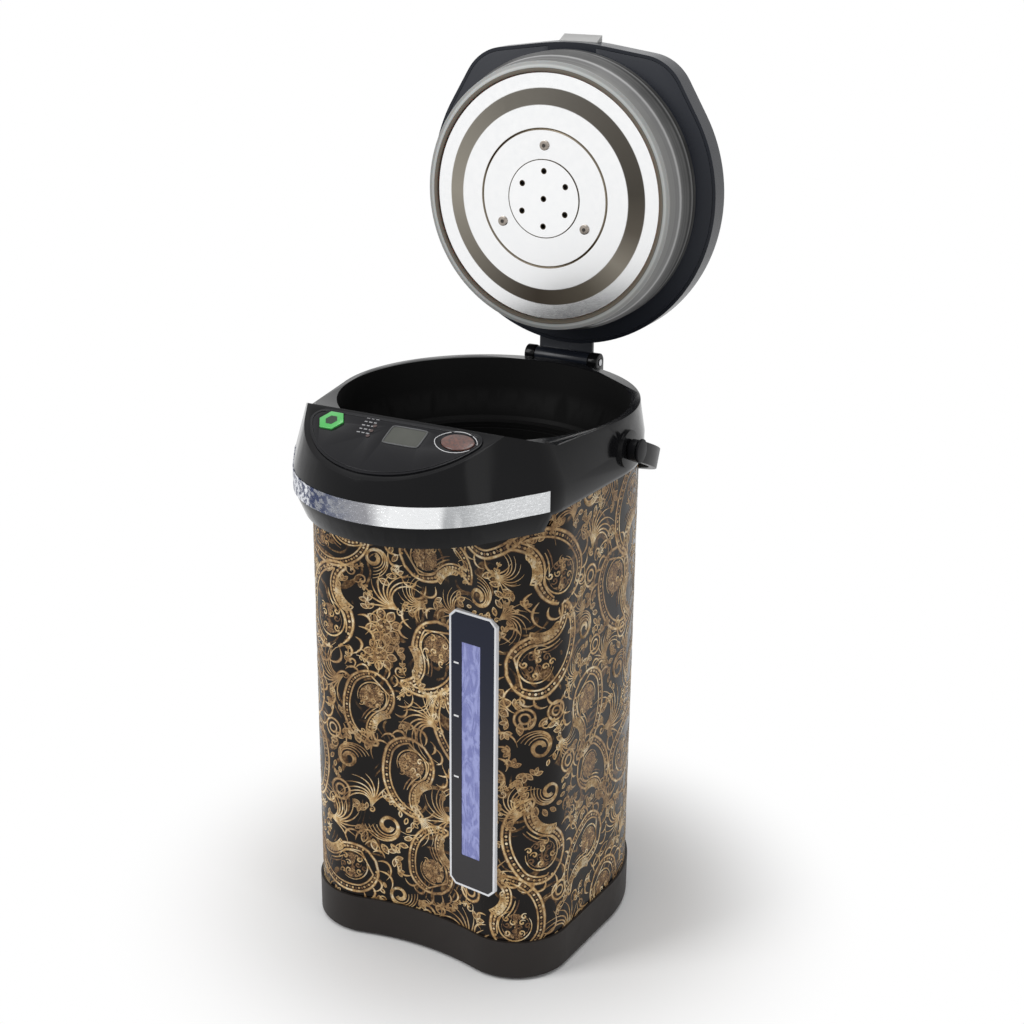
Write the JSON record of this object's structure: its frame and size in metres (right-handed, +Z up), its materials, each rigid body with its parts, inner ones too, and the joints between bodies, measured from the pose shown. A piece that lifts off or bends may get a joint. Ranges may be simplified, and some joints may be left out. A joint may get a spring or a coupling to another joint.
{
  "type": "electric thermo pot",
  "caption": "Tall electric hot-water dispenser with an open hinged lid, steel tank, printed sleeve, sloped control panel with keys, level gauge and bail handle.",
  "frame": {"origin": "on the tank's axis, at the floor, on the middle foot", "axes": "+Z up, front with the spout towards -Y, +X to the right seen from the front"},
  "size_m": [0.242, 0.3294, 0.642],
  "materials": {
    "head_black": "satin gloss",
    "base_black": "matte",
    "panel_charcoal": "gloss",
    "sleeve_print": "gold scrollwork printed on black gloss sheet",
    "silver_band": "hammered bright",
    "tank_steel": "satin",
    "plate_steel": "polished",
    "lid_flange": "grey satin",
    "lid_shell": "dark gloss",
    "silicone": "soft",
    "rubber_foot": "matte",
    "white_plastic": "matte",
    "window": "clear tint",
    "tube_glass": "clear",
    "hose": "milky",
    "zinc": "plated",
    "green_button": "satin",
    "red_button": "satin",
    "screen": "clear",
    "lamp": "clear red",
    "board_green": "matte",
    "brass_pin": "bright",
    "dark_plastic": "matte",
    "latch_silver": "satin silver"
  },
  "bodies": {
    "pot": {"base_ring": "base_black", "bottom_cover": "base_black", "feet": "rubber_foot", "base_screws": "zinc", "base_tray": "dark_plastic", "mains_inlet": "dark_plastic", "inlet_pins": "brass_pin", "power_board": "board_green", "pump_motor": "zinc", "pump_housing": "dark_plastic", "inner_tank": "tank_steel", "tank_seal": "silicone", "heater_plate": "tank_steel", "thermostat": "dark_plastic", "tank_pillars": "dark_plastic", "outer_sleeve": "sleeve_print", "head_housing": "head_black", "mouth_ring": "head_black", "chrome_band": "silver_band", "control_panel": "panel_charcoal", "lcd_window": "screen", "lcd_module": "dark_plastic", "indicator_lamps": "lamp", "control_board": "board_green", "button_switches": "dark_plastic", "pump_hose": "hose", "level_tube": "tube_glass", "delivery_hose": "hose", "spout_nozzle": "dark_plastic", "gauge_plate": "white_plastic", "gauge_window": "window", "hinge_bracket": "head_black", "hinge_pin": "zinc", "bail_studs": "dark_plastic"},
    "lid": {"lid_shell": "lid_shell", "lid_plug": "lid_flange", "lid_plate": "plate_steel", "vent_disc": "plate_steel", "plate_screws": "zinc", "lid_gasket": "silicone", "steam_vent_cap": "dark_plastic", "lid_knuckle": "lid_shell", "latch_pin": "zinc"},
    "latch": {"latch_lever": "latch_silver"},
    "handle": {"bail_handle": "head_black"},
    "green_key": {"green_button": "green_button"},
    "dispense_key": {"dispense_button": "red_button"},
    "impeller": {"pump_impeller": "white_plastic"}
  },
  "joints": [
    {"name": "lid_hinge", "type": "hinge", "parent": "pot", "child": "lid", "pos_m": [0, 0.129, 0.405], "axis": [1, 0, 0], "range_deg": [0, 90]},
    {"name": "latch_tip", "type": "hinge", "parent": "lid", "child": "latch", "pos_m": [0, 0.1478, 0.6312], "axis": [1, 0, 0], "range_deg": [-20, 0], "stiffness_Nm_per_rad": 0.05, "springref_deg": 14.32},
    {"name": "handle_swing", "type": "hinge", "parent": "pot", "child": "handle", "pos_m": [0, 0.008, 0.383], "axis": [1, 0, 0], "range_deg": [0, 20]},
    {"name": "green_press", "type": "slide", "parent": "pot", "child": "green_key", "axis": [0, -0.4067, 0.9135], "range_m": [-0.0009, 0], "stiffness_N_per_m": 1200, "springref_m": 0.0004},
    {"name": "dispense_press", "type": "slide", "parent": "pot", "child": "dispense_key", "axis": [0, -0.4067, 0.9135], "range_m": [-0.0009, 0], "stiffness_N_per_m": 1200, "springref_m": 0.0004},
    {"name": "impeller_spin", "type": "hinge", "parent": "pot", "child": "impeller", "pos_m": [0.03, -0.038, 0.028], "axis": [0, 0, 1], "continuous": true}
  ]
}
